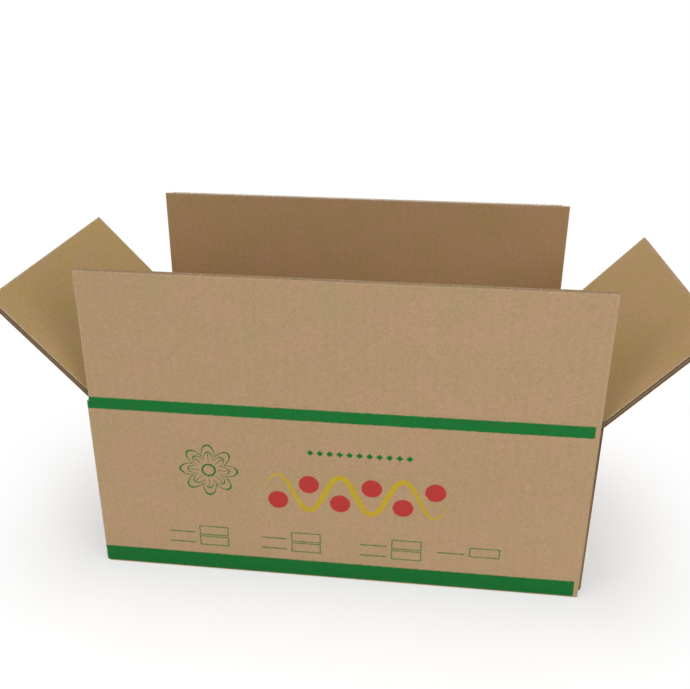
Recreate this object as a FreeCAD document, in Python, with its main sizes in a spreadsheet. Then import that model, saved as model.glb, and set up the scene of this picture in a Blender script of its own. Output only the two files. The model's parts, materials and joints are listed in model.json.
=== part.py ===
import FreeCAD, Part
import math
import os
import re
import Sketcher

# Bottle shipping box: one sheet of single-wall corrugated board, cut, creased, folded up and glued.
#
# Frame: millimetres, X to the right along the carton's length, Y to the back, Z up.
# The origin is the middle of the underside. The printed long panel faces -Y.
#
# The sheet runs round as four walls and ends in a glue tab behind the front panel's cut edge.
# Its four bottom flaps are folded in and glued. Its four top flaps stand open on their creases.
# Walls, tab and bottom flaps are one solid. Each top flap swings, so each is a solid of its own.

SIZES = (
    ("carton_length", 460, "outside length, along the front panel"),
    ("carton_width", 250, "outside width, from the front panel to the back panel"),
    ("carton_height", 188, "outside height, from the underside to the long flaps' creases"),
    ("board", 5, "thickness of the corrugated board"),
    ("fold_radius", 2.5, "outer radius of a corner that is folded and stays folded"),
    ("seam_gap", 1.5, "gap between the two long bottom flaps"),
    ("top_gap", 6, "gap that the two long top flaps leave when they are closed"),
    ("short_flap_extra", 2.5, "depth by which a short top flap is deeper than a long one"),
    ("mitre_angle", 47.5, "slope of the crushed board on each side of a flap's crease"),
    ("closed_gap", 0.4, "gap between the closed short flaps and the long flaps over them"),
    ("slot_inset", 3, "distance of a long flap's side edge from the carton's corner"),
    ("short_flap_gap", 1, "gap between a short flap's side edge and the long panel beside it"),
    ("slot_extra", 1.5, "depth of the top corner slots below the short flaps' creases"),
    ("lap_reveal", 1.5, "strip of the end panel's fold that shows beside the front panel's cut edge"),
    ("lap_width", 35, "width of the glue tab behind the front panel"),
    ("lap_taper", 8, "slope of the glue tab's top and bottom ends"),
    ("lap_gap", 2, "gap between the glue tab and the flaps above and below it"),
    ("short_flap_lean", 42, "lean of the short flaps at rest, outwards from upright"),
    ("flute_pitch", 8.6, "distance from one wave of the fluted paper to the next"),
    ("flute_crest", 1.6, "width of the narrow side of a flute, at the crest of the wave"),
    ("flute_web", 0.6, "thickness of the fluted paper, measured along the board"),
    ("liner", 0.5, "thickness of each flat paper face"),
    ("fluting", 0.4, "thickness of the fluted paper at its crests"),
    ("flute_margin", 4, "board beside the outermost flutes, crushed by the slotting knife"),
    ("crushed_land", 11, "height above a crease up to which the crease has closed the flutes"),
    ("overcut", 10, "reach of a cut past the surface that it goes through"),
)

doc = FreeCAD.newDocument("bottle_shipping_box")
sheet = doc.addObject("Spreadsheet::Sheet", "Sizes")
for row, (size_name, size, meaning) in enumerate(SIZES, start=1):
    sheet.set(f"A{row}", size_name)
    sheet.set(f"B{row}", str(size))
    sheet.set(f"C{row}", meaning)
    sheet.setAlias(f"B{row}", size_name)
doc.recompute()

SIZE_WORD = re.compile(r"\b(" + "|".join(entry[0] for entry in SIZES) + r")\b")

# Lengths that follow from the sizes, written as expressions on the sheet's names.
half_length = "(carton_length / 2)"
half_width = "(carton_width / 2)"
bottom_flap_depth = "((carton_width - seam_gap) / 2)"
long_flap_depth = "((carton_width - top_gap) / 2)"
short_flap_depth = f"({long_flap_depth} + short_flap_extra)"
mitre_drop = "(board * tan(mitre_angle))"
short_crease = "(carton_height - board - closed_gap)"
lap_setback = "(fold_radius + lap_reveal)"
short_flap_reach = f"({half_width} - board - short_flap_gap)"
long_flap_reach = f"({half_length} - slot_inset)"
front_flap_reach = f"({half_length} - {lap_setback})"


def bound(text):
    """The expression with the sheet's name put before each size."""
    return SIZE_WORD.sub(r"Sizes.\1", text)


def value(text):
    """The expression's present value."""
    return float(sheet.evalExpression(bound(text)))


def new_body(name):
    body = doc.addObject("PartDesign::Body", name)
    body.Label = name
    return body


def new_sketch(body, name, plane_role, offset=None):
    """A sketch on one of the body's own origin planes, moved along the plane's normal by offset."""
    sketch = body.newObject("Sketcher::SketchObject", name)
    plane = next(item for item in body.Origin.OriginFeatures if item.Role == plane_role)
    sketch.AttachmentSupport = (plane, "")
    sketch.MapMode = "FlatFace"
    if offset is not None:
        sketch.setExpression("AttachmentOffset.Base.z", bound(offset))
    return sketch


def bind_point(sketch, geometry, end, across, up):
    """Tie one end of a line, or an arc's centre, to two size expressions."""
    for kind, text in (("DistanceX", across), ("DistanceY", up)):
        if text is not None:
            index = sketch.addConstraint(Sketcher.Constraint(kind, geometry, end, value(text)))
            sketch.setExpression(f"Constraints[{index}]", bound(text))


def draw_outline(sketch, corners):
    """A closed outline of straight lines through the corners, each a pair of size expressions."""
    points = [FreeCAD.Vector(value(across), value(up), 0) for across, up in corners]
    lines = []
    for index, point in enumerate(points):
        following = points[(index + 1) % len(points)]
        lines.append(sketch.addGeometry(Part.LineSegment(point, following), False))
    for index, (across, up) in enumerate(corners):
        sketch.addConstraint(Sketcher.Constraint("Coincident", lines[index - 1], 2, lines[index], 1))
        bind_point(sketch, lines[index], 1, across, up)


def draw_rectangle(sketch, left, right, low, high):
    draw_outline(sketch, ((left, low), (right, low), (right, high), (left, high)))


def draw_fold_waste(sketch, corner, across_sign, up_sign):
    """The waste between a sharp corner and the fold's arc, which lies on the side that the signs give."""
    across, up = corner
    centre_across = f"{across} {across_sign} fold_radius"
    centre_up = f"{up} {up_sign} fold_radius"
    corner_point = FreeCAD.Vector(value(across), value(up), 0)
    first_end = FreeCAD.Vector(value(centre_across), value(up), 0)
    second_end = FreeCAD.Vector(value(across), value(centre_up), 0)
    centre = FreeCAD.Vector(value(centre_across), value(centre_up), 0)
    out = sketch.addGeometry(Part.LineSegment(corner_point, first_end), False)
    back = sketch.addGeometry(Part.LineSegment(second_end, corner_point), False)
    turns = [math.atan2(point.y - centre.y, point.x - centre.x) for point in (first_end, second_end)]
    arc_ends = [(out, 2), (back, 1)]
    if (turns[1] - turns[0]) % (2 * math.pi) > math.pi:
        turns.reverse()
        arc_ends.reverse()
    circle = Part.Circle(centre, FreeCAD.Vector(0, 0, 1), value("fold_radius"))
    quarter = Part.ArcOfCircle(circle, turns[0], turns[0] + math.pi / 2)
    arc = sketch.addGeometry(quarter, False)
    bind_point(sketch, out, 1, across, up)
    bind_point(sketch, out, 2, centre_across, up)
    bind_point(sketch, back, 1, across, centre_up)
    sketch.addConstraint(Sketcher.Constraint("Coincident", back, 2, out, 1))
    for arc_end, (line, line_end) in enumerate(arc_ends, start=1):
        sketch.addConstraint(Sketcher.Constraint("Coincident", arc, arc_end, line, line_end))
    bind_point(sketch, arc, 3, centre_across, None)
    sketch.solve()
    if sketch.Geometry[arc].length() > 2 * value("fold_radius"):
        raise RuntimeError(f"{sketch.Label} has a fold that runs the long way round")


def extrude(body, kind, name, sketch, length, side_type="One side", second_length=None):
    """A pad or pocket of the sketch, with its length bound to the sheet."""
    feature = body.newObject(f"PartDesign::{kind}", name)
    feature.Profile = sketch
    feature.SideType = side_type
    feature.setExpression("Length", bound(length))
    if second_length is not None:
        feature.setExpression("Length2", bound(second_length))
    sketch.Visibility = False
    doc.recompute()
    return feature


def pad(body, name, sketch, length, **options):
    return extrude(body, "Pad", name, sketch, length, **options)


def pocket(body, name, sketch, length, **options):
    before = body.Shape.Volume
    feature = extrude(body, "Pocket", name, sketch, length, **options)
    if not feature.Shape.Volume < before:
        raise RuntimeError(f"{name} cuts nothing")
    return feature


def add_panels(body):
    """The four walls, with the front panel's cut edge short of the right front corner."""
    three_panels = new_sketch(body, "front_left_back_plan", "XY_Plane")
    draw_outline(three_panels, (
        (f"{half_length} - {lap_setback}", f"-{half_width}"),
        (f"{half_length} - {lap_setback}", f"-{half_width} + board"),
        (f"-{half_length} + board", f"-{half_width} + board"),
        (f"-{half_length} + board", f"{half_width} - board"),
        (half_length, f"{half_width} - board"),
        (half_length, half_width),
        (f"-{half_length}", half_width),
        (f"-{half_length}", f"-{half_width}"),
    ))
    pad(body, "front_left_and_back_panels", three_panels, "carton_height")
    right_panel = new_sketch(body, "right_panel_plan", "XY_Plane")
    draw_rectangle(right_panel, f"{half_length} - board", half_length,
                   f"-{half_width} + board", f"{half_width} - board")
    pad(body, "right_panel", right_panel, "carton_height")


def add_glue_tab(body):
    """The sheet's last strip, folded in from the right panel and glued behind the front panel."""
    root = f"{half_length} - board"
    free_edge = f"{half_length} - lap_width"
    low = "2 * board + lap_gap"
    high = f"{short_crease} - board - lap_gap"
    tab = new_sketch(body, "glue_tab_outline", "XZ_Plane", offset=f"{half_width} - 2 * board")
    draw_outline(tab, (
        (root, low),
        (root, high),
        (free_edge, f"{high} - lap_taper"),
        (free_edge, f"{low} + lap_taper"),
    ))
    pad(body, "glue_tab", tab, "board")


def add_bottom(body):
    """The long bottom flaps, seam to seam, and the short ones that lie glued on top of them."""
    long_flaps = new_sketch(body, "long_bottom_flaps_plan", "XY_Plane")
    for near, far in ((f"-{half_width} + board", "-seam_gap / 2"),
                      ("seam_gap / 2", f"{half_width} - board")):
        draw_rectangle(long_flaps, f"-{long_flap_reach}", long_flap_reach, near, far)
    pad(body, "long_bottom_flaps", long_flaps, "board")
    short_flaps = new_sketch(body, "short_bottom_flaps_plan", "XY_Plane", offset="board")
    root = f"{half_length} - board"
    free_edge = f"{half_length} - {bottom_flap_depth}"
    for near, far in ((f"-({root})", f"-({free_edge})"), (free_edge, root)):
        draw_rectangle(short_flaps, near, far, f"-{short_flap_reach}", short_flap_reach)
    pad(body, "short_bottom_flaps", short_flaps, "board")
    ends = new_sketch(body, "end_panel_foot_profile", "XZ_Plane")
    draw_rectangle(ends, f"-{half_length} - overcut", f"-{long_flap_reach}", "-overcut", "board")
    draw_rectangle(ends, long_flap_reach, f"{half_length} + overcut", "-overcut", "board")
    pocket(body, "end_panel_feet", ends, "carton_width - 2 * board", side_type="Symmetric")


def cut_creases(body):
    """The walls' tops, crushed from the inside to the line on which each flap turns."""
    long_walls = new_sketch(body, "long_crease_profile", "YZ_Plane")
    for sign, inward in (("-", "+"), ("", "-")):
        outer = f"{sign}{half_width}"
        inner = f"{outer} {inward} board"
        draw_outline(long_walls, (
            (outer, "carton_height"),
            (inner, f"carton_height - {mitre_drop}"),
            (inner, "carton_height + overcut"),
            (outer, "carton_height + overcut"),
        ))
    pocket(body, "long_creases", long_walls, "carton_length + 2 * overcut", side_type="Symmetric")
    short_walls = new_sketch(body, "short_crease_profile", "XZ_Plane")
    for sign, inward in (("-", "+"), ("", "-")):
        outer = f"{sign}{half_length}"
        inner = f"{outer} {inward} board"
        beyond = f"{sign}({half_length} + overcut)"
        draw_outline(short_walls, (
            (outer, short_crease),
            (inner, f"{short_crease} - {mitre_drop}"),
            (inner, "carton_height + overcut"),
            (beyond, "carton_height + overcut"),
            (beyond, short_crease),
        ))
    pocket(body, "short_creases", short_walls, "carton_width - 2 * board", side_type="Symmetric")


def cut_corner_slots(body, name, start, depth):
    """The four slots between neighbouring flaps, cut downwards from the height start."""
    slots = new_sketch(body, f"{name}_plan", "XY_Plane", offset=start)
    for left, right in ((f"-{half_length} - overcut", f"-{long_flap_reach}"),
                        (long_flap_reach, f"{half_length} + overcut")):
        for low, high in ((f"-{half_width} - overcut", f"-{short_flap_reach}"),
                          (short_flap_reach, f"{half_width} + overcut")):
            draw_rectangle(slots, left, right, low, high)
    pocket(body, name, slots, depth)


def round_folds(body):
    """The outer radius of the corners and of the bottom folds."""
    corners = new_sketch(body, "upright_folds_plan", "XY_Plane", offset="carton_height + overcut")
    draw_fold_waste(corners, (f"-{half_length}", f"-{half_width}"), "+", "+")
    draw_fold_waste(corners, (f"-{half_length}", half_width), "+", "-")
    draw_fold_waste(corners, (half_length, half_width), "-", "-")
    draw_fold_waste(corners, (half_length, f"-{half_width} + board"), "-", "+")
    pocket(body, "upright_folds", corners, "carton_height + 2 * overcut")
    long_folds = new_sketch(body, "long_bottom_folds_profile", "YZ_Plane")
    draw_fold_waste(long_folds, (f"-{half_width}", "0"), "+", "+")
    draw_fold_waste(long_folds, (half_width, "0"), "-", "+")
    pocket(body, "long_bottom_folds", long_folds, "carton_length + 2 * overcut", side_type="Symmetric")
    short_folds = new_sketch(body, "short_bottom_folds_profile", "XZ_Plane")
    draw_fold_waste(short_folds, (f"-{half_length}", "board"), "+", "+")
    draw_fold_waste(short_folds, (half_length, "board"), "-", "+")
    pocket(body, "short_bottom_folds", short_folds, "carton_width - 2 * board", side_type="Symmetric")


def make_carton():
    body = new_body("carton_body")
    add_panels(body)
    add_glue_tab(body)
    add_bottom(body)
    cut_creases(body)
    top_slot_depth = f"carton_height - {short_crease} + slot_extra"
    cut_corner_slots(body, "top_corner_slots", "carton_height", top_slot_depth)
    cut_corner_slots(body, "bottom_corner_slots", "fold_radius", "fold_radius + overcut")
    round_folds(body)
    return body


def cut_flutes(body, depth, reach, other_reach):
    """The open flutes: two to a wave, one against each liner, from the free edge down to the crease."""
    count = f"floor(({reach} + {other_reach} - 2 * flute_margin) / flute_pitch)"
    first = f"(({reach} - {other_reach}) / 2 - ({count} - 1) * flute_pitch / 2)"
    half_mouth = "((flute_pitch - flute_crest) / 2 - flute_web)"
    half_crest = "(flute_crest / 2)"
    flutes = new_sketch(body, "flute_section", "XY_Plane", offset=depth)
    outer_flute = (f"({first} - flute_pitch / 4)", "liner", "board - liner - fluting")
    inner_flute = (f"({first} + flute_pitch / 4)", "board - liner", "liner + fluting")
    for middle, mouth, crest in (outer_flute, inner_flute):
        draw_outline(flutes, (
            (f"{middle} - {half_mouth}", mouth),
            (f"{middle} + {half_mouth}", mouth),
            (f"{middle} + {half_crest}", crest),
            (f"{middle} - {half_crest}", crest),
        ))
    pair = pocket(body, "flute_pair", flutes, f"{depth} - crushed_land")
    row = body.newObject("PartDesign::LinearPattern", "flute_row")
    row.Originals = [pair]
    row.Direction = (next(item for item in body.Origin.OriginFeatures if item.Role == "X_Axis"), [""])
    row.setExpression("Length", bound(f"({count} - 1) * flute_pitch"))
    row.setExpression("Occurrences", bound(count))
    body.Tip = row
    doc.recompute()
    if not row.Shape.Volume < pair.Shape.Volume:
        raise RuntimeError("the row of flutes cuts nothing")


def make_flap(name, depth, reach, other_reach, hinge, turn, lean):
    """A top flap, drawn upright with its crease on its own X axis and its outer face at Y = 0.

    depth is its size from the crease to the free edge, and reach and other_reach are its ends along
    +X and -X. turn brings its inner face to the carton's inside, lean tilts it outwards, and hinge
    is the middle of its crease.
    """
    body = new_body(name)
    section = new_sketch(body, "flap_section", "YZ_Plane")
    draw_outline(section, (
        ("0", "0"),
        ("board", mitre_drop),
        ("board", depth),
        ("0", depth),
    ))
    pad(body, "flap_board", section, reach, side_type="Two sides", second_length=other_reach)
    cut_flutes(body, depth, reach, other_reach)
    place = "; ".join(bound(text) for text in hinge)
    rotation = f"rotation(vector(0; 0; 1); {turn}) * rotation(vector(1; 0; 0); {bound(lean)})"
    body.setExpression("Placement", f"placement(vector({place}); {rotation})")
    return body


sub_parts = [
    make_carton(),
    make_flap("front_flap", long_flap_depth, front_flap_reach, long_flap_reach,
              ("0", f"-{half_width}", "carton_height"), 0, "0"),
    make_flap("back_flap", long_flap_depth, long_flap_reach, long_flap_reach,
              ("0", half_width, "carton_height"), 180, "0"),
    make_flap("left_flap", short_flap_depth, short_flap_reach, short_flap_reach,
              (f"-{half_length}", "0", short_crease), -90, "short_flap_lean"),
    make_flap("right_flap", short_flap_depth, short_flap_reach, short_flap_reach,
              (half_length, "0", short_crease), 90, "short_flap_lean"),
]
doc.recompute()

for item in doc.Objects:
    if "Invalid" in item.State or "Error" in item.State:
        raise RuntimeError(f"{item.Label} did not build: {item.State}")
os.makedirs("parts", exist_ok=True)
for body in sub_parts:
    if body.Shape.isNull() or not body.Shape.isValid() or len(body.Shape.Solids) != 1:
        raise RuntimeError(f"{body.Label} is not one valid solid")
    body.Shape.exportStep(f"parts/{body.Label}.step")
    box = body.Shape.BoundBox
    print(f"{body.Label}: {body.Shape.Volume:.0f} mm3, X {box.XMin:.1f} to {box.XMax:.1f}, "
          f"Y {box.YMin:.1f} to {box.YMax:.1f}, Z {box.ZMin:.1f} to {box.ZMax:.1f}")
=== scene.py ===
# %% [markdown]
# # An open shipping carton of corrugated board
# The part arrives as five solids: the folded walls with their glued bottom, and four top flaps on hinges.
# Their shapes are already true, so this lesson is mostly about paper: kraft liner that is mottled and
# fibrous, ink that sits unevenly on it, cut edges that show the fluted paper, and creases that bend.
# Meshes are in metres and named sizes in millimetres, and nothing that is loaded here is ever moved.

# %% Load the solids
import json
import math

import bmesh
import bpy
from mathutils import Matrix, Vector


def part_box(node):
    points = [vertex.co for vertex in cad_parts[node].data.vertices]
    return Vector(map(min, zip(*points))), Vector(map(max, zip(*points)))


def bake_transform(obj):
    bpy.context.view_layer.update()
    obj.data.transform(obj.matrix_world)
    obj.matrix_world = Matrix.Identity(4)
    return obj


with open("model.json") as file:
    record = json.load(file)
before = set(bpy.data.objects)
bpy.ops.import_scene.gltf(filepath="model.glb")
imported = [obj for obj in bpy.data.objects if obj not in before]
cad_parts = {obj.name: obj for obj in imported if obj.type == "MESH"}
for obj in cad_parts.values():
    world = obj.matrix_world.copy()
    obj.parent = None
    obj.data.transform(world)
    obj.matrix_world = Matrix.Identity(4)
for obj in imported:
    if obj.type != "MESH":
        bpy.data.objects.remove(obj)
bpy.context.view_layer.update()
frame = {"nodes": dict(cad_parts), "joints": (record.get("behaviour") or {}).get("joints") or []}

MM = 0.001
print("nodes:", sorted(frame["nodes"]))

# %% [markdown]
# Every place in this file is measured from the loaded solids, so the looks follow the part.
# The walls give the carton's outside, an upright flap gives the board's thickness, and the tip of a
# leaning flap gives both its depth and its lean.

# %% Measure the carton
wall_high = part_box("carton_body")[1]
front_low, front_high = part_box("front_flap")
back_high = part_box("back_flap")[1]
right_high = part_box("right_flap")[1]
HALF_LENGTH = wall_high.x / MM
HALF_WIDTH = wall_high.y / MM
HEIGHT = wall_high.z / MM
BOARD = (front_high.y - front_low.y) / MM
LONG_DEPTH = (front_high.z - front_low.z) / MM
FRONT_CUT = front_high.x / MM
SLOT_CUT = back_high.x / MM
SHORT_REACH = right_high.y / MM
hinges = {joint["child"]: Vector(joint["pos_m"]) / MM for joint in frame["joints"]}
SHORT_CREASE = hinges["right_flap_body"].z
flap_corners = [vertex.co / MM for vertex in frame["nodes"]["right_flap"].data.vertices]
tip = max(flap_corners, key=lambda place: place.x)
SHORT_DEPTH = math.hypot(tip.x - HALF_LENGTH, tip.z - SHORT_CREASE)
LEAN = math.atan2(tip.x - HALF_LENGTH, tip.z - SHORT_CREASE)
on_short_bottom = [abs(vertex.co.x) / MM for vertex in frame["nodes"]["carton_body"].data.vertices
                   if abs(vertex.co.z / MM - 2 * BOARD) < 0.1]
SHORT_BOTTOM_EDGE = min(on_short_bottom)
print(f"carton {2 * HALF_LENGTH:.0f} x {2 * HALF_WIDTH:.0f} x {HEIGHT:.0f} mm, board {BOARD:.1f} mm")
print(f"long flaps {LONG_DEPTH:.1f} mm deep, short flaps {SHORT_DEPTH:.1f} mm")
print(f"short flaps lean out by {math.degrees(LEAN):.1f} degrees")
print(f"short bottom flaps end {SHORT_BOTTOM_EDGE:.1f} mm from the middle")

# %% [markdown]
# Paper is described by arithmetic on the position of a point: so far from an edge, so close to a line.
# The class below lets that arithmetic be written as plain Python. It holds one socket of a node tree,
# and adding or multiplying two of them adds the Math node that does it.

# %% A socket that does arithmetic
class Wire:
    """One socket in a material's node tree."""

    def __init__(self, tree, socket):
        self.tree = tree
        self.socket = socket

    def node(self, kind, settings, inputs, output=0):
        """Add any node: its settings are set first, then each input gets its value or its wire."""
        made = self.tree.nodes.new(kind)
        for name, setting in settings.items():
            setattr(made, name, setting)
        for name, given in inputs.items():
            if isinstance(given, Wire):
                self.tree.links.new(given.socket, made.inputs[name])
            else:
                made.inputs[name].default_value = given
        return Wire(self.tree, made.outputs[output]) if made.outputs else None

    def math(self, operation, other=0.0, clamp=False):
        return self.node("ShaderNodeMath", {"operation": operation, "use_clamp": clamp}, {0: self, 1: other})

    def __add__(self, other):
        return self.math("ADD", other)

    def __radd__(self, other):
        return self.math("ADD", other)

    def __sub__(self, other):
        return self.math("SUBTRACT", other)

    def __rsub__(self, other):
        return (self * -1.0).math("ADD", other)

    def __mul__(self, other):
        return self.math("MULTIPLY", other)

    def __rmul__(self, other):
        return self.math("MULTIPLY", other)

    def __truediv__(self, other):
        return self.math("DIVIDE", other)

    def __abs__(self):
        return self.math("ABSOLUTE")

    def above(self, edge, soft=0.1):
        """0 below the edge and 1 above it, with a ramp as wide as soft."""
        return ((self - edge) * (1.0 / soft)).math("ADD", 0.5, clamp=True)

    def below(self, edge, soft=0.1):
        return 1.0 - self.above(edge, soft)

    def between(self, low, high, soft=0.1):
        return self.above(low, soft) * self.below(high, soft)

    def larger(self, other):
        return self.math("MAXIMUM", other)

    def part(self, axis):
        """The X, Y or Z of a vector, as a number."""
        return self.node("ShaderNodeSeparateXYZ", {}, {0: self}, output=axis)

    def scaled(self, factors):
        return self.node("ShaderNodeVectorMath", {"operation": "MULTIPLY"}, {0: self, 1: factors})

    def dot(self, direction):
        inputs = {0: self, 1: direction}
        return self.node("ShaderNodeVectorMath", {"operation": "DOT_PRODUCT"}, inputs, output=1)

    def noise(self, size, detail=2.0, roughness=0.5):
        """Cloudy noise around 0.5 whose features are about size millimetres across."""
        inputs = {"Vector": self, "Scale": 1.0 / size, "Detail": detail, "Roughness": roughness}
        return self.node("ShaderNodeTexNoise", {}, inputs)


print("a Wire can", [name for name in ("above", "below", "between", "noise") if hasattr(Wire, name)])

# %% Colours
def srgb(red, green, blue):
    """A colour given as it looks on screen, 0 to 255, in the linear form that shaders use."""
    def linear(level):
        share = level / 255
        return share / 12.92 if share <= 0.04045 else ((share + 0.055) / 1.055) ** 2.4
    return (linear(red), linear(green), linear(blue), 1.0)


def blend_colours(factor, first, second):
    """The first colour where factor is 0 and the second where it is 1."""
    return factor.node("ShaderNodeMix", {"data_type": "RGBA"}, {0: factor, 6: first, 7: second}, output=2)


def tinted(colour, amount):
    """A colour made lighter or darker by a number around 1."""
    as_grey = amount.node("ShaderNodeCombineXYZ", {}, {0: amount, 1: amount, 2: amount})
    plain = colour if isinstance(colour, Wire) else colour[:3]
    return amount.node("ShaderNodeVectorMath", {"operation": "MULTIPLY"}, {0: plain, 1: as_grey})


print("kraft in linear light:", [round(level, 3) for level in srgb(172, 146, 113)])

# %% [markdown]
# Each material starts from Object coordinates, turned into millimetres, and ends in one Principled
# shader. The height that drives the bump is in millimetres too, so that a crease 0.3 mm deep is 0.3.
# Paper has next to no gloss, so the specular level is low and the roughness high.

# %% Start and end of a material
PAPER_SPECULAR = 0.1


def start_material(name):
    material = bpy.data.materials.new(name)
    material.use_nodes = True
    tree = material.node_tree
    tree.nodes.clear()
    place = tree.nodes.new("ShaderNodeTexCoord")
    point = Wire(tree, place.outputs["Object"]).scaled((1 / MM, 1 / MM, 1 / MM))
    return material, point


def end_material(point, colour, roughness, height):
    normal = point.node("ShaderNodeBump", {}, {"Height": height, "Distance": MM, "Strength": 1.0})
    inputs = {"Base Color": colour, "Roughness": roughness, "Normal": normal,
              "Specular IOR Level": PAPER_SPECULAR}
    shader = point.node("ShaderNodeBsdfPrincipled", {}, inputs)
    point.node("ShaderNodeOutputMaterial", {}, {"Surface": shader})


def finish_with(piece, material):
    piece.data.materials.clear()
    piece.data.materials.append(material)


print("paper's specular level:", PAPER_SPECULAR)

# %% [markdown]
# Kraft liner is never one brown. It drifts between a pink and an olive brown in patches of a few
# millimetres, and it has a fine grain of lighter and darker fibres. Longer fibres lie along the paper
# machine's direction, which is across the flutes. The flutes print through as a faint washboard, a
# wave that each wall and flap has in its own direction. The carton's inner liner is the browner one.

# %% Kraft liner
FLUTE_PITCH = 8.6
KRAFT_PINK = srgb(179, 145, 116)
KRAFT_OLIVE = srgb(167, 144, 105)
INSIDE_PINK = srgb(167, 133, 102)
INSIDE_OLIVE = srgb(154, 131, 84)
CLOUD_SIZE = 34.0
PATCH_SIZE = 4.0
GRAIN_SIZE = 1.7
FIBRE_SIZE = 0.5
FIBRE_STRETCH = (0.2, 0.2, 1.0)
FLECK_SIZE = 0.9
FLECK_STRETCH = (0.5, 0.5, 1.0)
PATCH_HUE = 2.2
CLOUD_HUE = 1.6
CLOUD_SHADE = 0.09
GRAIN_SHADE = 0.56
FIBRE_SHADE = 0.22
FLECK_SHADE = 0.12
WAVE_SHADE = 0.008
PAPER_RELIEF = 0.05
WAVE_HEIGHT = 0.018
PAPER_ROUGHNESS = 0.88


def washboard(across):
    """A wave from -1 to 1 that follows the flutes."""
    return (across * (2 * math.pi / FLUTE_PITCH)).math("SINE")


def kraft_liner(point, wave, inside, olive=0.5, painted_light=1.0):
    """Colour, roughness and height of liner.

    inside is 1 on the carton's inner face, olive says how olive that face is, and tone how much lighter or
    darker all is painted, as painted light.
    """
    clouds = point.noise(CLOUD_SIZE, detail=2.0) - 0.5
    patches = point.noise(PATCH_SIZE, detail=4.0, roughness=0.75) - 0.5
    hue = patches * PATCH_HUE + clouds * CLOUD_HUE
    outer = blend_colours(hue.math("ADD", 0.5, clamp=True), KRAFT_PINK, KRAFT_OLIVE)
    inner = blend_colours(hue.math("ADD", olive, clamp=True), INSIDE_PINK, INSIDE_OLIVE)
    colour = blend_colours(inside, outer, inner)
    grain = point.noise(GRAIN_SIZE, detail=3.0, roughness=0.75) - 0.5
    fibres = point.scaled(FIBRE_STRETCH).noise(FIBRE_SIZE, detail=3.0, roughness=0.65) - 0.5
    flecks = point.scaled(FLECK_STRETCH).noise(FLECK_SIZE, detail=2.0).above(0.71, 0.06)
    shade = painted_light + clouds * CLOUD_SHADE + grain * GRAIN_SHADE + fibres * FIBRE_SHADE
    shade = shade - flecks * FLECK_SHADE + wave * WAVE_SHADE
    height = grain * PAPER_RELIEF + fibres * PAPER_RELIEF + wave * WAVE_HEIGHT
    roughness = PAPER_ROUGHNESS + grain * 0.12
    return tinted(colour, shade), roughness, height


print("flute pitch", FLUTE_PITCH, "mm")

# %% [markdown]
# A cut shows what the board is made of. Cut along the flutes, it is a dark gap between two liners with
# a ragged line of fluted paper in it. Cut across them, the open flutes are real holes on the flaps. Their
# insides are painted paler than the paper, as painted light that lifts the shade in them, and the paper
# round them is rubbed pale or brown. Where a cut across the flutes is a plain face of the solid, as on
# the bottom flaps, the wave is painted.

# %% Cut board
CUT_PALE = srgb(214, 206, 192)
CUT_WORN = srgb(158, 131, 101)
CUT_DARK = srgb(132, 110, 84)
CUT_LINER = srgb(174, 149, 120)
CUT_SHADOW = srgb(92, 74, 56)
CUT_FLUTING = srgb(140, 117, 91)
# The inside of the open flutes is painted paler than the paper: painted light that lifts the shade deep in
# the channels.
FLUTE_INSIDE_PAINTED_LIGHT = srgb(208, 182, 148)
LINER = 0.6
FLUTING_BAND = 0.9
CUT_SKIN = 0.12
RAGGED_CUT_SIZE = 1.6
RAGGED_CUT = 0.9


def side_cut(point, depth):
    """Colour of a cut along the flutes. depth runs from the outer face to the inner one."""
    ragged = depth + (point.noise(RAGGED_CUT_SIZE, detail=3.0) - 0.5) * RAGGED_CUT
    gap = ragged.between(LINER, BOARD - LINER, 0.3)
    middle = BOARD / 2
    fluting = ragged.between(middle - FLUTING_BAND / 2, middle + FLUTING_BAND / 2, 0.3)
    colour = blend_colours(gap, CUT_LINER, CUT_SHADOW)
    return blend_colours(fluting, colour, CUT_FLUTING)


def wave_cut(point, depth, across):
    """Colour of a cut across the flutes, where they aren't modelled: the wave is painted."""
    swing = BOARD / 2 - LINER
    from_wave = abs(depth - BOARD / 2 - washboard(across) * swing)
    hollow = from_wave.above(0.45, 0.2) * depth.between(LINER, BOARD - LINER, 0.1)
    pale = tinted(CUT_WORN, 0.9 + point.noise(0.8) * 0.2)
    return blend_colours(hollow, pale, CUT_SHADOW)


print("a cut shows liners", LINER, "mm thick in board of", round(BOARD, 1), "mm")

# %% [markdown]
# ## The flaps
# A flap is read in its own directions: along the crease, up from the crease, and inwards through the
# board. Three dot products give those three numbers anywhere on it, leaning or not. With them its
# inner face, its open flutes, its three cut edges and the rubbed rims beside them are told apart.

# %% Flap material
RIM_WIDTH = 3.0
RIM_PATCH = 5.0
TOP_PATCH = 2.4
PRESSED_TO = 1.3
PRESSED_SOFT = 1.6
PRESSED_DEPTH = 0.35


def rubbed_rim(point, inset, wear):
    """Where a rim of that distance from the edge is rubbed pale, in patches."""
    return inset.below(RIM_WIDTH / 2, RIM_WIDTH) * point.noise(RIM_PATCH, detail=3.0).above(0.48, 0.25) * wear


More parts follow.
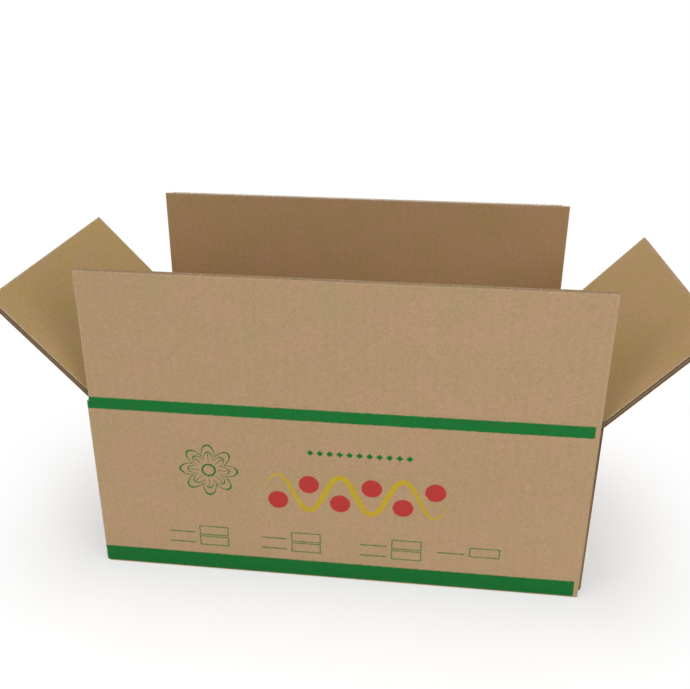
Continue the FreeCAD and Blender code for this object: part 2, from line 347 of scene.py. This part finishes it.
def flap_material(name, hinge, along, up, inward, ends, paper):
    material, point = start_material(name)
    low_end, high_end, flap_depth = ends
    rim_colour, rim_share, olive, painted_light = paper
    across = point.dot(along) - hinge.dot(along)
    rise = point.dot(up) - hinge.dot(up)
    depth = point.dot(inward) - hinge.dot(inward)
    inside = depth.above(BOARD - CUT_SKIN, 0.05)
    colour, roughness, height = kraft_liner(point, washboard(across), inside, olive, painted_light)
    from_end = (across - low_end).math("MINIMUM", high_end - across)
    rim = rubbed_rim(point, from_end.math("MINIMUM", flap_depth - rise), rim_share)
    colour = blend_colours(rim, colour, CUT_PALE)
    # Inside the board the open flutes get that paler colour, as painted light against their shade.
    in_board = depth.between(CUT_SKIN, BOARD - CUT_SKIN, 0.05)
    colour = blend_colours(in_board, colour, FLUTE_INSIDE_PAINTED_LIGHT)
    top = rise.above(flap_depth - CUT_SKIN, 0.05)
    colour = blend_colours(top, colour, tinted(rim_colour, 0.4 + point.noise(TOP_PATCH, detail=3.0) * 1.2))
    colour = blend_colours(from_end.below(CUT_SKIN, 0.05), colour, side_cut(point, depth))
    pressed = rise.below(PRESSED_TO, PRESSED_SOFT) * depth.below(CUT_SKIN, 0.05)
    end_material(point, colour, roughness, height - pressed * PRESSED_DEPTH)
    return material


ALONG = Vector((1, 0, 0))
DEEP = Vector((0, 1, 0))
UP = Vector((0, 0, 1))
FRONT_ENDS = (-SLOT_CUT, FRONT_CUT, LONG_DEPTH)
BACK_ENDS = (-SLOT_CUT, SLOT_CUT, LONG_DEPTH)
SHORT_ENDS = (-SHORT_REACH, SHORT_REACH, SHORT_DEPTH)
across_lean = math.sin(LEAN)
along_lean = math.cos(LEAN)
# Each flap: along, up and inwards, its ends and depth, and its paper: the colour of its top edge, how
# rubbed its rims are, how olive its inner face is and how much lighter it is painted, which is painted light.
FLAPS = {
    "front_flap": (ALONG, UP, DEEP, FRONT_ENDS, (CUT_DARK, 0.1, 0.5, 1.0)),
    # The back flap is painted 17 % lighter: painted light that lifts the shade which the front flap casts on
    # it.
    "back_flap": (ALONG, UP, -DEEP, BACK_ENDS, (CUT_PALE, 0.15, 0.3, 1.17)),
    "left_flap": (DEEP, Vector((-across_lean, 0, along_lean)), Vector((along_lean, 0, across_lean)),
                  SHORT_ENDS, (CUT_WORN, 0.15, 0.75, 0.98)),
    "right_flap": (DEEP, Vector((across_lean, 0, along_lean)), Vector((-along_lean, 0, across_lean)),
                   SHORT_ENDS, (CUT_WORN, 0.15, 0.62, 1.02)),
}
for name, reading in FLAPS.items():
    hinge = hinges[name + "_body"]
    finish_with(frame["nodes"][name], flap_material(name + "_board", hinge, *reading))
    print(name, "creased at", [round(number, 1) for number in hinge])

# %% [markdown]
# ## The print
# The carton is printed flat, before it is folded, in three inks: two green bands that run round all
# four walls, and on the front a plain ornament in green, yellow and red over rows of empty tick boxes.
# Each shape is a mask worked out from X and Z on the front face. A stripe is the space between two
# heights, a disc is a distance from its middle, and a wave is a sine whose distance is divided by its
# slope, so that the line keeps one width.

# %% Inks and where they go
GREEN = srgb(6, 108, 46)
YELLOW = srgb(186, 158, 42)
RED = srgb(178, 54, 52)
BAND_TOP = (175.0, 186.9)
BAND_FOOT = (2.2, 19.6)
BAND_MARGIN = 4.2
PRINT_EDGE = 0.6
LOZENGE_ROW = (20.0, 142.0)
LOZENGE_PITCH = 9.0
LOZENGE_COUNT = 11
LOZENGE_HALF = 3.2
TICK_ROWS = (46.6, 34.6)
TICK_COLUMNS = (-119.0, -30.0, 65.0, 137.5)
TICK_HALF = (13.6, 4.9)
TICK_LINE = 1.2
SINGLE_RAISE = 3.5
RULE_OFFSET = (-31.0, -3.0)
RULE_HALF = 12.5
RULE_LINE_HALF = 0.7


def box_outline(x, z, middle_x, middle_z, half_x, half_z, line):
    """The outline of an upright rectangle."""
    outside = (abs(x - middle_x) - half_x).larger(abs(z - middle_z) - half_z)
    return abs(outside).below(line / 2, PRINT_EDGE)


def tick_boxes(x, z):
    """Three pairs of tick boxes and a single one, each with a plain rule beside it."""
    single = (sum(TICK_ROWS) / 2 + SINGLE_RAISE,)
    marks = None
    for column in TICK_COLUMNS:
        for row in single if column == TICK_COLUMNS[-1] else TICK_ROWS:
            box = box_outline(x, z, column, row, *TICK_HALF, TICK_LINE)
            beside = abs(x - (column + RULE_OFFSET[0])).below(RULE_HALF, PRINT_EDGE)
            rule = beside * abs(z - (row + RULE_OFFSET[1])).below(RULE_LINE_HALF, PRINT_EDGE)
            marks = box.larger(rule) if marks is None else marks.larger(box).larger(rule)
    return marks


def lozenge_row(x, z):
    """A short row of small lozenges."""
    middle_x, middle_z = LOZENGE_ROW
    from_start = x - (middle_x - LOZENGE_PITCH * LOZENGE_COUNT / 2)
    nearest = abs(from_start.math("MODULO", LOZENGE_PITCH) - LOZENGE_PITCH / 2)
    shape = ((nearest + abs(z - middle_z)) / LOZENGE_HALF).below(1.0, PRINT_EDGE / LOZENGE_HALF)
    return shape * from_start.between(0.0, LOZENGE_PITCH * LOZENGE_COUNT, 0.1)


print("bands from", BAND_FOOT, "and", BAND_TOP, "mm")

# %% Rosette and running wave
ROSETTE = (-120.0, 116.0)
ROSETTE_RADIUS = 27.0
PETALS = 8
ROSETTE_LINE = 0.9
ROSETTE_WAIST = 0.6
INNER_SHARE = 0.72
VEIN_REACH = (8.0, 18.0)
RING_RADIUS = 6.0
WAVE_START = -70.0
WAVE_HALF_PITCH = 29.0
WAVE_HALVES = 6
WAVE_MIDDLE = 98.0
WAVE_SWING = 19.0
WAVE_LINE = 2.8
DISC_RADIUS = 9.5
DISC_OFFSET = 9.5


def rosette(x, z):
    """A stamp of eight petals round a small ring."""
    east = x - ROSETTE[0]
    north = z - ROSETTE[1]
    radius = (east * east + north * north).math("SQRT")
    angle = north.math("ARCTAN2", east) * (PETALS / 2)
    waist = ROSETTE_RADIUS * ROSETTE_WAIST
    petal = abs(angle.math("COSINE")) * (ROSETTE_RADIUS - waist) + waist
    outline = abs(radius - petal).below(ROSETTE_LINE, PRINT_EDGE)
    inner = abs(radius - petal * INNER_SHARE).below(ROSETTE_LINE * 0.7, PRINT_EDGE)
    veins = abs(angle.math("SINE")).below(0.1, 0.1) * radius.between(*VEIN_REACH, 1.0)
    ring = abs(radius - RING_RADIUS).below(ROSETTE_LINE, PRINT_EDGE)
    return outline.larger(inner).larger(ring).larger(veins)


def running_wave(x, z):
    """A sine line that thins out towards both ends, and the discs in its bays."""
    turn = (x - WAVE_START) / WAVE_HALF_PITCH
    angle = turn * math.pi
    height = angle.math("SINE") * WAVE_SWING + WAVE_MIDDLE
    slope = angle.math("COSINE") * (WAVE_SWING * math.pi / WAVE_HALF_PITCH)
    distance = abs(z - height) / (slope * slope + 1.0).math("SQRT")
    from_middle = abs(turn / WAVE_HALVES - 0.5) * 2.0
    half_line = (1.0 - from_middle * from_middle * from_middle) * WAVE_LINE
    line = (half_line - distance).above(0.0, PRINT_EDGE) * turn.between(0.0, WAVE_HALVES, 0.01)
    bay = turn.math("FLOOR")
    side = bay.math("MODULO", 2.0) * 2.0 - 1.0
    east = (turn - bay - 0.5) * WAVE_HALF_PITCH
    north = z - WAVE_MIDDLE - side * DISC_OFFSET
    disc = (east * east + north * north).math("SQRT").below(DISC_RADIUS, PRINT_EDGE)
    return line, disc * turn.between(0.0, WAVE_HALVES, 0.01)


print("the wave runs from", WAVE_START, "to", WAVE_START + WAVE_HALF_PITCH * WAVE_HALVES, "mm")

# %% [markdown]
# ## The walls
# The folded sheet is one solid, so one material tells its surfaces apart by where they are: outer
# face, inner face, the flutes' direction on each wall, and the cuts at the lap, the slots and the
# bottom flaps. The washboard fades out near the bottom, where the bottom flaps have waves of their own.
# Flexographic ink is thin: paper shows through in pinholes, and a printed edge is slightly ragged.

# %% Ink on paper
STAMP_COVER = 0.8
FULL_COVER = 0.995
PINHOLE_SHARE = 0.12
SPECK_SIZE = 2.2
RAGGED_PRINT_SIZE = 1.5
RAGGED_PRINT = 2.2
GREEN_SWING = 2.2
YELLOW_SWING = 0.6
RED_SWING = 1.1


def inked(colour, mask, ink, cover, shade):
    """Ink over paper, let through where cover is low."""
    return blend_colours(mask * cover, colour, tinted(ink, shade))


def printed(point, colour, outer_face, short_of_lap, front):
    """The colour with the print on it, and where that print is."""
    wobble = (point.noise(RAGGED_PRINT_SIZE, detail=3.0, roughness=0.7) - 0.5) * RAGGED_PRINT
    x = point.part(0) + wobble
    z = point.part(2) + wobble
    bands = z.between(*BAND_TOP, PRINT_EDGE).larger(z.between(*BAND_FOOT, PRINT_EDGE))
    line, discs = running_wave(x, z)
    stamps = (tick_boxes(x, z) * STAMP_COVER).larger(rosette(x, z)).larger(lozenge_row(x, z))
    green = (bands * outer_face * short_of_lap).larger(stamps * front)
    specks = point.noise(SPECK_SIZE, detail=4.0, roughness=0.8)
    cover = FULL_COVER - specks.below(0.4, 0.16) * PINHOLE_SHARE
    line = line * front
    discs = discs * front
    inks = ((green, GREEN, GREEN_SWING), (line, YELLOW, YELLOW_SWING), (discs, RED, RED_SWING))
    for mask, ink, swing in inks:
        shade = (specks - 0.5) * swing + 1.0
        colour = inked(colour, mask, ink, cover, shade)
    return colour, green.larger(line).larger(discs)


print("inks:", [tuple(round(level, 3) for level in ink[:3]) for ink in (GREEN, YELLOW, RED)])

# %% Washboard of the whole sheet
WAVE_FADE = 9.0


def sheet_wave(x, y, z):
    """The flutes' wave on walls and bottom flaps, each in its own direction."""
    on_wall = z.above(2 * BOARD + WAVE_FADE / 2, WAVE_FADE)
    on_long_bottom = z.below(BOARD + 0.5, 0.5) * abs(y).below(HALF_WIDTH - BOARD - 2.0, 2.0)
    on_short_bottom = z.between(2 * BOARD - 0.5, 2 * BOARD + 0.5, 0.4) * abs(x).above(SHORT_BOTTOM_EDGE, 0.5)
    return washboard(x + y) * on_wall + washboard(x) * on_long_bottom + washboard(y) * on_short_bottom


print("washboard fades in above", 2 * BOARD, "mm")

# %% Cuts of the sheet
# Painted shadow on the fold beyond the lap's cut edge: its darkest colour, its browner colour lower down, and
# how far behind the cut it reaches.
LAP_SHADOW = srgb(66, 49, 36)
LAP_SHADOW_BROWN = srgb(128, 92, 66)
LAP_SHADOW_DEPTH = 2.6
SLOT_END = SHORT_CREASE - 1.4


def with_cuts(point, x, y, z, colour):
    """The colour with the cut edges of lap, slots and bottom flaps on it, and a painted shadow on the fold
    beyond the lap.
    """
    far_x = abs(x)
    far_y = abs(y)
    at_lap = y.below(-HALF_WIDTH + BOARD + 0.05, 0.1)
    lap = x.between(FRONT_CUT - 0.1, FRONT_CUT + 0.1, 0.05) * at_lap
    lap_back = -HALF_WIDTH + BOARD
    # Beyond the lap's cut edge the recessed fold of the glue tab is painted dark. This painted shadow is
    # darkest near the top and fades to a browner painted shade lower down.
    painted_shadow_behind_lap = x.above(FRONT_CUT, 0.1) * y.between(lap_back - 0.2, lap_back + LAP_SHADOW_DEPTH, 1.6)
    painted_fold_shadow = blend_colours((z + point.noise(9.0) * 80.0).above(150.0, 90.0), LAP_SHADOW_BROWN, LAP_SHADOW)
    slots = far_x.between(SLOT_CUT - 0.1, SLOT_CUT + 0.1, 0.05) * z.above(SLOT_END, 0.1)
    feet = far_x.between(SLOT_CUT - 0.1, SLOT_CUT + 0.1, 0.05) * z.below(BOARD, 0.1)
    short_edge = (far_x.between(SHORT_BOTTOM_EDGE - 0.1, SHORT_BOTTOM_EDGE + 0.1, 0.05)
                  * z.between(BOARD, 2 * BOARD, 0.1))
    seam = far_y.below(1.0, 0.1) * z.below(BOARD - CUT_SKIN, 0.1)
    cuts = ((painted_shadow_behind_lap, painted_fold_shadow), (lap, side_cut(point, y + HALF_WIDTH)),
            (slots, side_cut(point, HALF_WIDTH - far_y)), (feet, side_cut(point, z)),
            (short_edge, wave_cut(point, z - BOARD, y)), (seam, wave_cut(point, z, x)))
    for mask, cut in cuts:
        colour = blend_colours(mask, colour, cut)
    return colour


print("slots end at", round(SLOT_END, 1), "mm")

# %% Wall material
# How high and how strongly the walls are painted lighter towards their foot, as painted light.
FOOT_TOP = 110.0
FOOT_PAINTED_LIGHT = 0.12
CORNER_RUB = 1.6
RUB_PATCH = 7.0
RUB_SHARE = 0.32
INK_GLOSS = 0.14


def wall_material():
    material, point = start_material("printed_board")
    x = point.part(0)
    y = point.part(1)
    z = point.part(2)
    far_x = abs(x)
    far_y = abs(y)
    within_x = far_x.below(HALF_LENGTH - BOARD + CUT_SKIN, 0.05)
    within_y = far_y.below(HALF_WIDTH - BOARD + CUT_SKIN, 0.05)
    inside = within_x * within_y * z.above(BOARD - CUT_SKIN, 0.05)
    # Painted light: the walls are painted up to 12 % lighter towards their foot, fading out 110 mm up.
    painted_light = z.below(FOOT_TOP / 2, FOOT_TOP) * FOOT_PAINTED_LIGHT + 1.0
    colour, roughness, height = kraft_liner(point, sheet_wave(x, y, z), inside, painted_light=painted_light)
    outer_face = far_x.above(HALF_LENGTH - 0.6, 0.1).larger(far_y.above(HALF_WIDTH - 1.8, 0.1))
    short_of_lap = 1.0 - x.above(FRONT_CUT - BAND_MARGIN, 0.5) * y.below(-HALF_WIDTH + BOARD + 0.1, 0.1)
    front = y.below(-HALF_WIDTH + CUT_SKIN, 0.05)
    colour, ink = printed(point, colour, outer_face, short_of_lap, front)
    upright = (far_x.above(HALF_LENGTH - CORNER_RUB, CORNER_RUB)
               * far_y.above(HALF_WIDTH - CORNER_RUB, CORNER_RUB))
    rubbed = upright * point.noise(RUB_PATCH, detail=4.0).above(0.45, 0.3)
    colour = blend_colours(rubbed * RUB_SHARE, colour, CUT_PALE)
    colour = with_cuts(point, x, y, z, colour)
    long_line = far_y.above(HALF_WIDTH - 0.1, 0.05) * z.above(HEIGHT - PRESSED_TO, PRESSED_SOFT)
    short_line = far_x.above(HALF_LENGTH - 0.1, 0.05) * z.above(SHORT_CREASE - PRESSED_TO, PRESSED_SOFT)
    pressed = long_line.larger(short_line)
    end_material(point, colour, roughness - ink * INK_GLOSS, height - pressed * PRESSED_DEPTH)
    return material


finish_with(frame["nodes"]["carton_body"], wall_material())
print("walls have", len(frame["nodes"]["carton_body"].data.materials[0].node_tree.nodes), "nodes")

# %% [markdown]
# ## The creases
# A crease is pressed from the inside. The inner liner dips into the board along a soft valley, and
# behind it the flutes are crushed flat. The solids end in two slopes there, because each is rigid, so a
# strip of crushed board fills the groove between them. It starts as a flat grid whose rows are pressed
# into the valley, the grid is extruded outwards, and the new rows are laid against the slopes. Each
# row is then turned about the hinge by its share of the flap's lean.

# %% Crease material
def crease_material(name, along, low_end, high_end):
    material, point = start_material(name)
    across = point.dot(along)
    colour, roughness, height = kraft_liner(point, washboard(across) * 0.5, point.part(2).above(-1.0, 0.1))
    ends = across.below(low_end + 0.4).larger(across.above(high_end - 0.4))
    crushed = point.scaled((1.0, 1.0, 0.6)).noise(1.2, detail=3.0).above(0.5, 0.15)
    colour = blend_colours(ends, colour, blend_colours(crushed, CUT_FLUTING, CUT_SHADOW))
    end_material(point, colour, roughness, height)
    return material


crease_boards = {"front": crease_material("front_crease_board", ALONG, -SLOT_CUT, FRONT_CUT),
                 "back": crease_material("back_crease_board", ALONG, -SLOT_CUT, SLOT_CUT),
                 "short": crease_material("short_crease_board", DEEP, -SHORT_REACH, SHORT_REACH)}
print("crease materials:", sorted(crease_boards))

# %% Section of a crease
STRIP_ROWS = 24
STRIP_HALF = 8.0
VALLEY_DEPTH = 2.5
VALLEY_WIDTH = 1.9
STRIP_PROUD = 0.05
STRIP_TUCK = 0.35
STRIP_THICKNESS = 0.4
STRIP_END_GAP = 0.1
MITRE = math.radians(47.5)
GROOVE_SLOPE = math.tan(MITRE)
BACK_LEAST = 0.25
TUCK_ROWS = 0.5
GROOVE_BITE = 0.5
TURN_HALF = 6.4


def front_depth(rise):
    """How far from the outer face the valley's surface lies, at that height from the crease."""
    dip = VALLEY_DEPTH * math.exp(-((rise / VALLEY_WIDTH) ** 2))
    tuck = STRIP_TUCK if abs(rise) > STRIP_HALF - TUCK_ROWS else 0.0
    return BOARD + STRIP_PROUD - dip - tuck


def back_depth(rise):
    """The same for the strip's back, which bites a little into the slopes behind it."""
    on_slope = max(BACK_LEAST, abs(rise) / GROOVE_SLOPE - GROOVE_BITE)
    return min(on_slope, front_depth(rise) - STRIP_THICKNESS)


def turned_share(rise):
    """The share of the flap's turn that a row follows, 0 on the wall and 1 on the flap."""
    share = min(1.0, max(0.0, (rise + TURN_HALF) / (2 * TURN_HALF)))
    return share * share * (3 - 2 * share)


RISES = [(row / STRIP_ROWS * 2 - 1) * STRIP_HALF for row in range(STRIP_ROWS + 1)]
print("valley is", round(BOARD - front_depth(0), 2), "mm deep")

# %% Crease strips
def deselect_all():
    if bpy.context.object and bpy.context.object.mode == "EDIT":
        bpy.ops.object.mode_set(mode="OBJECT")
    bpy.ops.object.select_all(action="DESELECT")


def select_vertices(piece, numbers):
    """Select just the vertices with these numbers, in edit mode."""
    edited = bmesh.from_edit_mesh(piece.data)
    edited.verts.ensure_lookup_table()
    for vertex in edited.verts:
        vertex.select = vertex.index in numbers
    edited.select_flush_mode()
    bmesh.update_edit_mesh(piece.data)


def rows_of(piece, hinge):
    """The numbers of each row's vertices, told by their height from the hinge."""
    edited = bmesh.from_edit_mesh(piece.data)
    edited.verts.index_update()
    return [{vertex.index for vertex in edited.verts if abs(vertex.co.z - hinge.z - rise * MM) < 0.01 * MM}
            for rise in RISES]


def lay_grid(name, hinge, along, wall_inward, low_end, high_end):
    """A flat grid in the plane of the outer face, with its rows along the hinge."""
    deselect_all()
    bpy.ops.mesh.primitive_grid_add(x_subdivisions=2, y_subdivisions=STRIP_ROWS, size=1)
    strip = bpy.context.object
    strip.name = name
    length = (high_end - low_end - 2 * STRIP_END_GAP) * MM
    middle = hinge + along * ((low_end + high_end) / 2 * MM)
    axes = Matrix((along, UP, wall_inward)).transposed().to_4x4()
    size = Matrix.Diagonal((length, 2 * STRIP_HALF * MM, 1, 1))
    strip.matrix_world = Matrix.Translation(middle) @ axes @ size
    bpy.ops.object.transform_apply(location=True, rotation=True, scale=True)
    return strip


def shape_rows(strip, hinge, wall_inward):
    """Press the front rows into the valley, and lay the extruded back rows against the slopes."""
    for row, rise in zip(rows_of(strip, hinge), RISES):
        select_vertices(strip, row)
        bpy.ops.transform.translate(value=wall_inward * front_depth(rise) * MM)
    front_count = len(strip.data.vertices)
    bpy.ops.mesh.select_all(action="SELECT")
    bpy.ops.mesh.extrude_region_move()
    for row, rise in zip(rows_of(strip, hinge), RISES):
        select_vertices(strip, {number for number in row if number >= front_count})
        bpy.ops.transform.translate(value=wall_inward * (back_depth(rise) - front_depth(rise)) * MM)


def turn_rows(strip, hinge, axis, lean):
    """Turn each row about the hinge by its share of the lean."""
    axis_name = "Y" if abs(axis.y) > 0.5 else "X"
    for row, rise in zip(rows_of(strip, hinge), RISES):
        select_vertices(strip, row)
        turn = -lean * turned_share(rise) * (axis.x + axis.y)
        bpy.ops.transform.rotate(value=turn, orient_axis=axis_name, center_override=hinge)


def crease_strip(name, body, along, wall_inward, low_end, high_end, lean, material):
    """A strip of crushed board in one hinge's groove, at rest where its flap is at rest."""
    hinge = hinges[body] * MM
    strip = lay_grid(name, hinge, along, wall_inward, low_end, high_end)
    outward_axis = UP.cross(-wall_inward)
    bpy.ops.object.mode_set(mode="EDIT")
    shape_rows(strip, hinge, wall_inward)
    if lean:
        turn_rows(strip, hinge, outward_axis, lean)
    bpy.ops.mesh.select_all(action="SELECT")
    bpy.ops.mesh.normals_make_consistent(inside=False)
    bpy.ops.object.mode_set(mode="OBJECT")
    bpy.ops.object.shade_smooth_by_angle(angle=math.radians(40))
    finish_with(strip, material)
    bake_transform(strip)
    return strip


STRIPS = {
    "front": ("front_flap_body", ALONG, DEEP, -SLOT_CUT, FRONT_CUT, 0.0, "front"),
    "back": ("back_flap_body", ALONG, -DEEP, -SLOT_CUT, SLOT_CUT, 0.0, "back"),
    "left": ("left_flap_body", DEEP, ALONG, -SHORT_REACH, SHORT_REACH, LEAN, "short"),
    "right": ("right_flap_body", DEEP, -ALONG, -SHORT_REACH, SHORT_REACH, LEAN, "short"),
}
for name, (body, along, inward, low_end, high_end, lean, kind) in STRIPS.items():
    board = crease_boards[kind]
    piece = crease_strip(name + "_crease_strip", body, along, inward, low_end, high_end, lean, board)
    top = max((vertex.co / MM for vertex in piece.data.vertices), key=lambda place: place.z)
    print(piece.name, "has", len(piece.data.polygons), "faces, its top at", [round(size, 1) for size in top])

# %% [markdown]
# ## Stage, light and camera
# The photograph is a cut-out on white. A pale floor that turns plain white a little way off keeps a
# soft shadow round the carton's foot. The lamps are soft and broad: one from the front left, one from
# the front right, and one from above for the leaning flaps. The world fills the rest. Together they
# bring the front to the level at which a colour renders as it is written.

# %% Floor and world
FLOOR_SIZE = 40.0
FLOOR_SHADE = 0.96
FADE_START = 25.0
FADE_WIDTH = 220.0
SHADOW_SHARE = 0.5
WORLD_LIGHT = 0.3


def white_for_camera(wire, lighting, white):
    """lighting for light that falls on the carton, and white for what the camera or a gloss sees."""
    path = wire.tree.nodes.new("ShaderNodeLightPath")
    seen = Wire(wire.tree, path.outputs["Is Camera Ray"])
    for kind in ("Is Glossy Ray", "Is Transmission Ray"):
        seen = seen.larger(Wire(wire.tree, path.outputs[kind]))
    return wire.node("ShaderNodeMixShader", {}, {0: seen, 1: lighting, 2: white})


deselect_all()
bpy.ops.mesh.primitive_plane_add(size=FLOOR_SIZE, location=(0, 0, 0))
floor = bpy.context.object
floor.name = "floor"
floor_material, floor_point = start_material("floor")
beside = (abs(floor_point.part(0)) - HALF_LENGTH).larger(0.0)
before = (abs(floor_point.part(1)) - HALF_WIDTH).larger(0.0)
away = (beside * beside + before * before).math("SQRT")
fade = 1.0 - away.below(FADE_START + FADE_WIDTH / 2, FADE_WIDTH) * SHADOW_SHARE
shaded = away.node("ShaderNodeBsdfDiffuse", {}, {"Color": (FLOOR_SHADE, FLOOR_SHADE, FLOOR_SHADE, 1)})
plain = away.node("ShaderNodeEmission", {}, {"Color": (1, 1, 1, 1), "Strength": 1.0})
faded = away.node("ShaderNodeMixShader", {}, {0: fade, 1: shaded, 2: plain})
away.node("ShaderNodeOutputMaterial", {}, {"Surface": white_for_camera(away, shaded, faded)})
finish_with(floor, floor_material)

world = bpy.data.worlds.new("studio")
bpy.context.scene.world = world
world.use_nodes = True
world.node_tree.nodes.clear()
sky = Wire(world.node_tree, world.node_tree.nodes.new("ShaderNodeTexCoord").outputs["Object"])
soft = sky.node("ShaderNodeBackground", {}, {"Color": (1, 1, 1, 1), "Strength": WORLD_LIGHT})
white = sky.node("ShaderNodeBackground", {}, {"Color": (1, 1, 1, 1), "Strength": 1.0})
sky.node("ShaderNodeOutputWorld", {}, {"Surface": white_for_camera(sky, soft, white)})
print("floor fades to white from", FADE_START, "mm beside the carton")

# %% Lamps
LAMPS = {
    "key_lamp": ((-1.5, -1.6, 1.6), 1.5, 16.3),
    "fill_lamp": ((1.5, -1.5, 1.1), 1.4, 17.6),
    "top_lamp": ((0.0, 0.3, 2.2), 1.6, 36.6),
}
LAMP_TARGET = Vector((0, 0, 0.15))


def soft_lamp(name, place, size, power):
    light = bpy.data.lights.new(name, "AREA")
    light.shape = "DISK"
    light.size = size
    light.energy = power
    lamp = bpy.data.objects.new(name, light)
    bpy.context.scene.collection.objects.link(lamp)
    lamp.location = place
    lamp.rotation_euler = (LAMP_TARGET - Vector(place)).to_track_quat("-Z", "Y").to_euler()
    return lamp


for name, (place, size, power) in LAMPS.items():
    print(soft_lamp(name, place, size, power).name, "gives", power, "W")

# %% Camera
IMAGE_WIDTH = 690
IMAGE_HEIGHT = 689
FOCAL_PIXELS = 761.9
PRINCIPAL_POINT = (348.48, 265.29)
CAMERA_PLACE = (0.067032, -0.699932, 0.545854)
CAMERA_TURN = (69.0606, -0.3147, 5.8854)
camera_data = bpy.data.cameras.new("photo_camera")
camera = bpy.data.objects.new("photo_camera", camera_data)
bpy.context.scene.collection.objects.link(camera)
camera.location = CAMERA_PLACE
camera.rotation_euler = [math.radians(turn) for turn in CAMERA_TURN]
camera_data.lens = FOCAL_PIXELS / IMAGE_WIDTH * camera_data.sensor_width
camera_data.shift_x = (IMAGE_WIDTH / 2 - PRINCIPAL_POINT[0]) / IMAGE_WIDTH
camera_data.shift_y = (PRINCIPAL_POINT[1] - IMAGE_HEIGHT / 2) / IMAGE_WIDTH
bpy.context.scene.camera = camera
bpy.context.scene.view_settings.view_transform = "Standard"
print(f"lens {camera_data.lens:.1f} mm, shift {camera_data.shift_x:.3f}, {camera_data.shift_y:.3f}")
